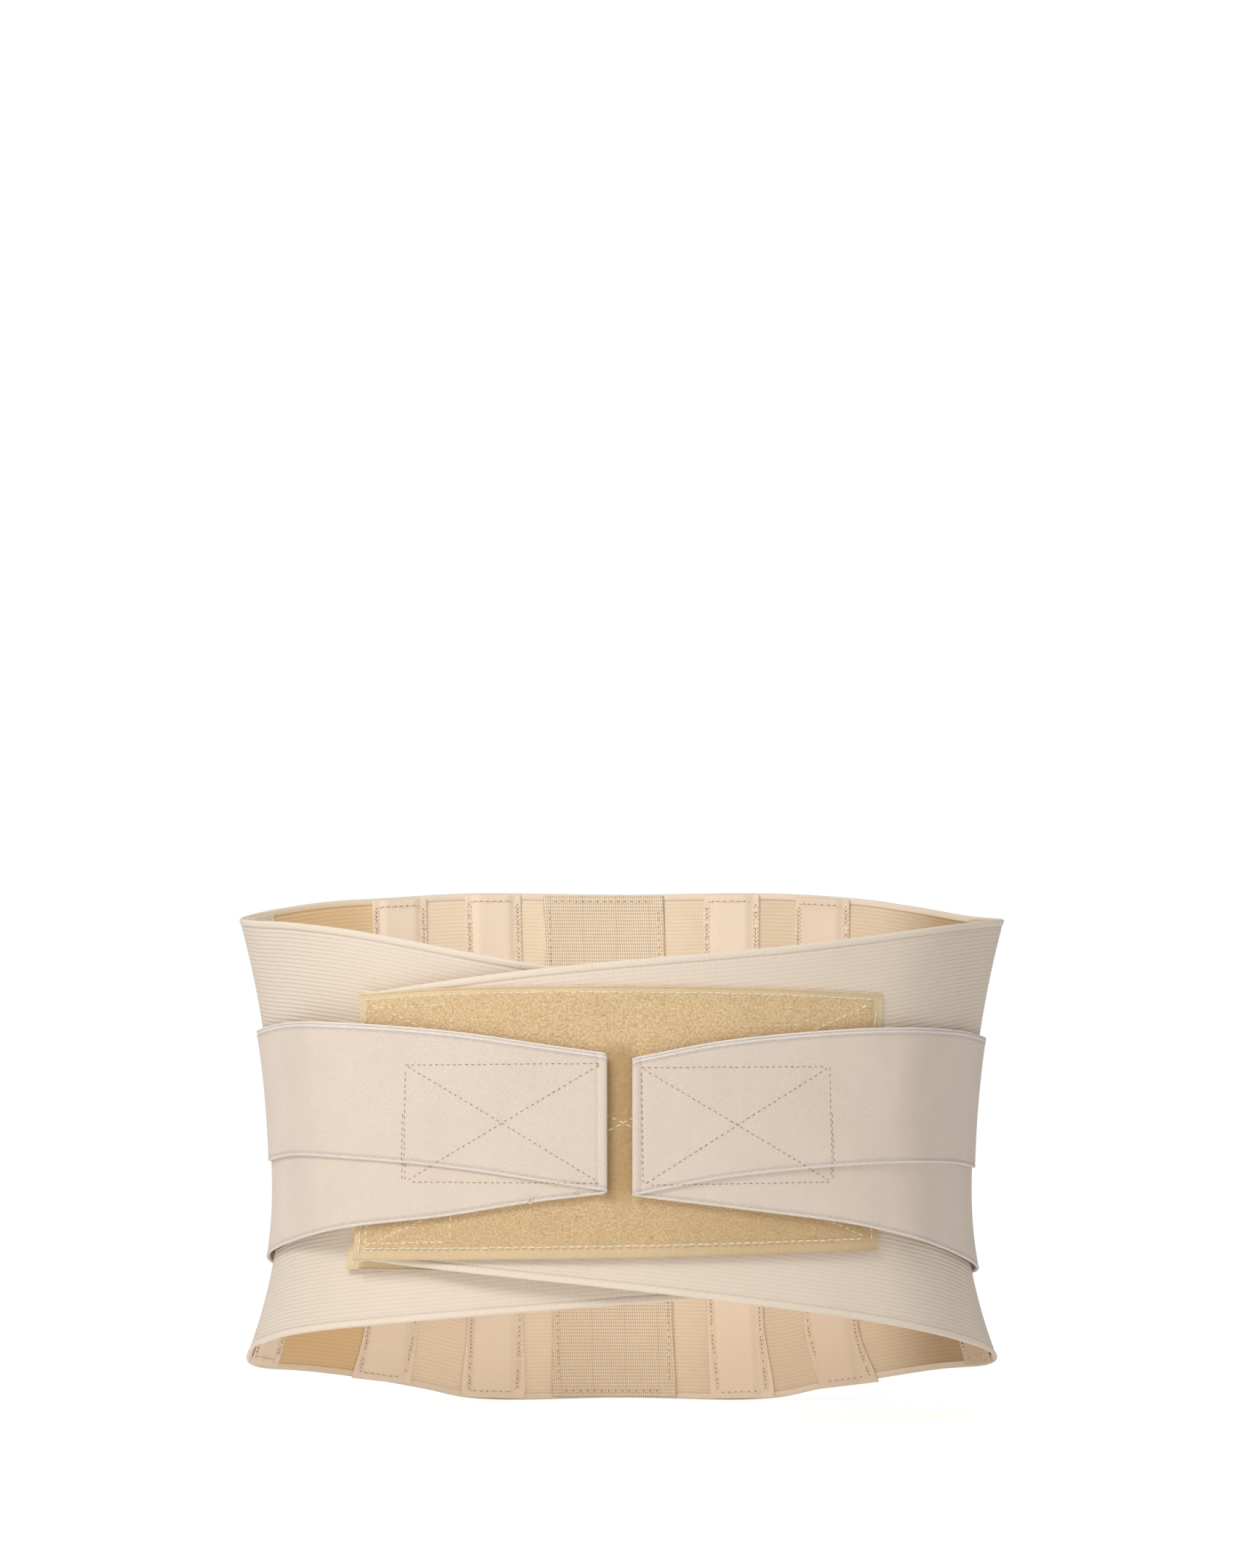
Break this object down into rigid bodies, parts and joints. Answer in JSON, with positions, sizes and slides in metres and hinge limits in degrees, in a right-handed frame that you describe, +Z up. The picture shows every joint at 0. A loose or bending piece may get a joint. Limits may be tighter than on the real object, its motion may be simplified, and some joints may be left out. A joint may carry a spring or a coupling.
{
  "type": "lumbar support belt",
  "caption": "Elastic lumbar belt closed as worn: wide ribbed bands, stayed back, overlapping front with loop pads and two pairs of pull straps on hook tabs.",
  "frame": {"origin": "centre of the waist opening, at half the height of the back panel", "axes": "+X to the wearer's left (right as seen from the front), +Y to the back panel, +Z up; the closure faces -Y"},
  "size_m": [0.3734, 0.2168, 0.2614],
  "materials": {
    "band_elastic": "ribbed elastic, matte",
    "strap_elastic": "fine knit elastic, matte",
    "loop_pile": "brushed loop pile",
    "hook_tape": "moulded hooks on woven tape",
    "pocket_tape": "satin twill tape",
    "patch_webbing": "coarse woven webbing",
    "anchor_tape": "woven seam tape",
    "stay_steel": "flat spring steel"
  },
  "bodies": {
    "back": {"anchor_tape_left": "anchor_tape", "anchor_tape_right": "anchor_tape", "center_patch": "patch_webbing", "lower_band_back": "band_elastic", "pocket_inner_left": "pocket_tape", "pocket_inner_right": "pocket_tape", "pocket_outer_left": "pocket_tape", "pocket_outer_right": "pocket_tape", "pocket_side_left": "pocket_tape", "pocket_side_right": "pocket_tape", "stay_inner_left": "stay_steel", "stay_inner_right": "stay_steel", "stay_outer_left": "stay_steel", "stay_outer_right": "stay_steel", "stay_side_left": "stay_steel", "stay_side_right": "stay_steel", "strap_lower_left_rear": "strap_elastic", "strap_lower_right_rear": "strap_elastic", "strap_upper_left_rear": "strap_elastic", "strap_upper_right_rear": "strap_elastic", "upper_band_back": "band_elastic"},
    "right_front": {"upper_band_right": "band_elastic", "lower_band_right": "band_elastic", "loop_pad_right": "loop_pile", "hook_patch_right": "hook_tape", "strap_upper_right_side": "strap_elastic", "strap_lower_right_side": "strap_elastic"},
    "left_front": {"upper_band_left": "band_elastic", "lower_band_left": "band_elastic", "loop_pad_left": "loop_pile"},
    "left_strap_side": {"strap_upper_left_side": "strap_elastic", "strap_lower_left_side": "strap_elastic"},
    "left_tab": {"strap_upper_left_tab": "strap_elastic", "strap_lower_left_tab": "strap_elastic", "tab_hook_left": "hook_tape"},
    "right_tab": {"strap_upper_right_tab": "strap_elastic", "strap_lower_right_tab": "strap_elastic", "tab_hook_right": "hook_tape"}
  },
  "joints": [
    {"name": "front_opening", "type": "hinge", "parent": "back", "child": "right_front", "pos_m": [0.17885, -0.03048, 0], "axis": [0, 0, 1], "range_deg": [0, 60]},
    {"name": "left_panel_opening", "type": "hinge", "parent": "back", "child": "left_front", "pos_m": [-0.17885, -0.03048, 0], "axis": [0, 0, -1], "range_deg": [0, 25]},
    {"name": "left_strap_swing", "type": "hinge", "parent": "back", "child": "left_strap_side", "pos_m": [-0.17235, 0.02744, 0], "axis": [0, 0, -1], "range_deg": [0, 155]},
    {"name": "left_tab_peel", "type": "hinge", "parent": "left_strap_side", "child": "left_tab", "pos_m": [-0.13987, -0.07511, 0], "axis": [0, 0, -1], "range_deg": [0, 110]},
    {"name": "right_tab_peel", "type": "hinge", "parent": "right_front", "child": "right_tab", "pos_m": [0.13867, -0.07564, 0], "axis": [0, 0, 1], "range_deg": [0, 110]}
  ],
  "couplings": [
    {"joint": "left_panel_opening", "follows": "front_opening", "ratio": 0.33},
    {"joint": "left_strap_swing", "follows": "front_opening", "ratio": 2.5}
  ]
}
